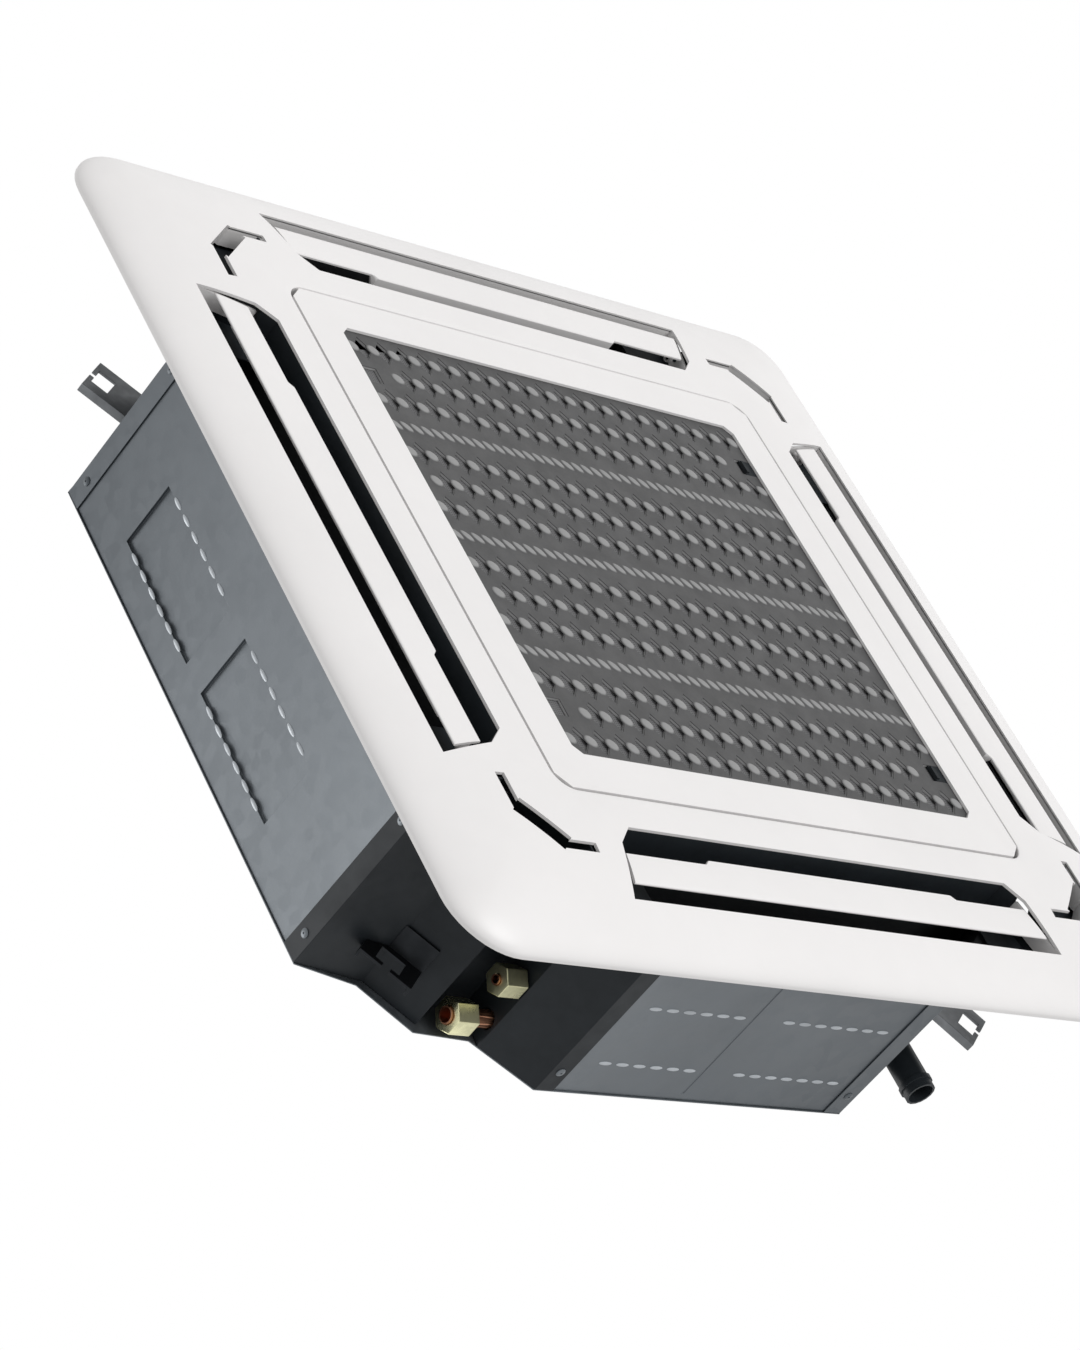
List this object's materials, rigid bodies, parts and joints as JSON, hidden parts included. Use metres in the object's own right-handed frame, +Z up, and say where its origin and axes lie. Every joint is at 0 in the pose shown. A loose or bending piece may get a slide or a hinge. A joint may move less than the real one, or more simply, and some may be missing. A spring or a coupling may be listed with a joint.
{
  "type": "ceiling cassette air conditioner",
  "caption": "Square ceiling cassette air conditioner with a slim galvanised casing, a domed white panel, long outlets with vanes, corner outlets and a hinged intake grille.",
  "frame": {"origin": "centre of the panel in the plane of the ceiling's underside, where the panel's rim rests", "axes": "+Z up into the ceiling; +X towards the side plate with the two pressed rectangles; -Y towards the side between the pipe corner and the drain corner"},
  "size_m": [0.95, 0.95, 0.2377],
  "materials": {
    "galvanised": "galvanised",
    "bracket_steel": "satin",
    "black_plastic": "matte",
    "fan_plastic": "matte",
    "foam": "matte",
    "fin_aluminium": "satin",
    "copper": "satin",
    "brass": "satin",
    "rubber": "matte",
    "white_plastic": "satin",
    "lattice_plastic": "matte",
    "filter_net": "matte",
    "board": "matte"
  },
  "bodies": {
    "unit": {"casing_top": "galvanised", "casing_side_left": "galvanised", "casing_side_front": "galvanised", "casing_side_rear": "galvanised", "casing_side_right": "galvanised", "casing_corner_rear_left": "galvanised", "casing_corner_rear_right": "galvanised", "casing_corner_front_right": "galvanised", "control_box": "galvanised", "control_box_cover": "galvanised", "coil_end_plate_front": "galvanised", "coil_end_plate_left": "galvanised", "hanger_bracket_rear_left": "bracket_steel", "hanger_bracket_rear_right": "bracket_steel", "hanger_bracket_front_right": "bracket_steel", "hanger_bracket_pipe_corner": "bracket_steel", "fan_motor": "bracket_steel", "pipe_cover": "black_plastic", "drain_stub": "black_plastic", "bellmouth": "black_plastic", "drain_pump": "black_plastic", "corner_duct_rear_left": "black_plastic", "corner_duct_rear_right": "black_plastic", "corner_duct_front_right": "black_plastic", "corner_duct_front_left": "black_plastic", "vane_motor_left": "black_plastic", "vane_motor_rear": "black_plastic", "vane_motor_right": "black_plastic", "vane_motor_front": "black_plastic", "foam_liner": "foam", "drain_pan": "foam", "evaporator_coil": "fin_aluminium", "gas_pipe": "copper", "liquid_pipe": "copper", "gas_flare_nut": "brass", "liquid_flare_nut": "brass", "motor_mount_1": "rubber", "motor_mount_2": "rubber", "motor_mount_3": "rubber", "drain_hose": "rubber", "panel_frame": "white_plastic", "float_switch": "white_plastic", "control_board": "board"},
    "fan": {"turbo_fan": "fan_plastic", "shaft_nut": "galvanised"},
    "left_vane": {"vane_left": "white_plastic"},
    "rear_vane": {"vane_rear": "white_plastic"},
    "right_vane": {"vane_right": "white_plastic"},
    "front_vane": {"vane_front": "white_plastic"},
    "grille": {"grille_frame": "white_plastic", "grille_lattice": "lattice_plastic", "air_filter": "filter_net"},
    "rear_latch": {"grille_latch_rear": "black_plastic"},
    "front_latch": {"grille_latch_front": "black_plastic"},
    "pump_rotor": {"pump_impeller": "white_plastic"},
    "float_ring": {"float": "black_plastic"}
  },
  "joints": [
    {"name": "fan_spin", "type": "hinge", "parent": "unit", "child": "fan", "pos_m": [0, 0, 0.1], "axis": [0, 0, 1], "continuous": true},
    {"name": "left_vane_tilt", "type": "hinge", "parent": "unit", "child": "left_vane", "pos_m": [0.382, 0, -0.018], "axis": [0, 1, 0], "range_deg": [0, 70]},
    {"name": "rear_vane_tilt", "type": "hinge", "parent": "unit", "child": "rear_vane", "pos_m": [0, 0.382, -0.018], "axis": [-1, 0, 0], "range_deg": [0, 70]},
    {"name": "right_vane_tilt", "type": "hinge", "parent": "unit", "child": "right_vane", "pos_m": [-0.382, 0, -0.018], "axis": [0, -1, 0], "range_deg": [0, 70]},
    {"name": "front_vane_tilt", "type": "hinge", "parent": "unit", "child": "front_vane", "pos_m": [0, -0.382, -0.018], "axis": [1, 0, 0], "range_deg": [0, 70]},
    {"name": "grille_hinge", "type": "hinge", "parent": "unit", "child": "grille", "pos_m": [0.29, 0, -0.0287], "axis": [0, -1, 0], "range_deg": [0, 85]},
    {"name": "rear_latch_slide", "type": "slide", "parent": "grille", "child": "rear_latch", "axis": [-1, 0, 0], "range_m": [0, 0.008]},
    {"name": "front_latch_slide", "type": "slide", "parent": "grille", "child": "front_latch", "axis": [-1, 0, 0], "range_m": [0, 0.008]},
    {"name": "pump_spin", "type": "hinge", "parent": "unit", "child": "pump_rotor", "pos_m": [-0.276, -0.298, 0.04], "axis": [0, 0, 1], "continuous": true},
    {"name": "float_slide", "type": "slide", "parent": "unit", "child": "float_ring", "axis": [0, 0, 1], "range_m": [0, 0.008]}
  ]
}
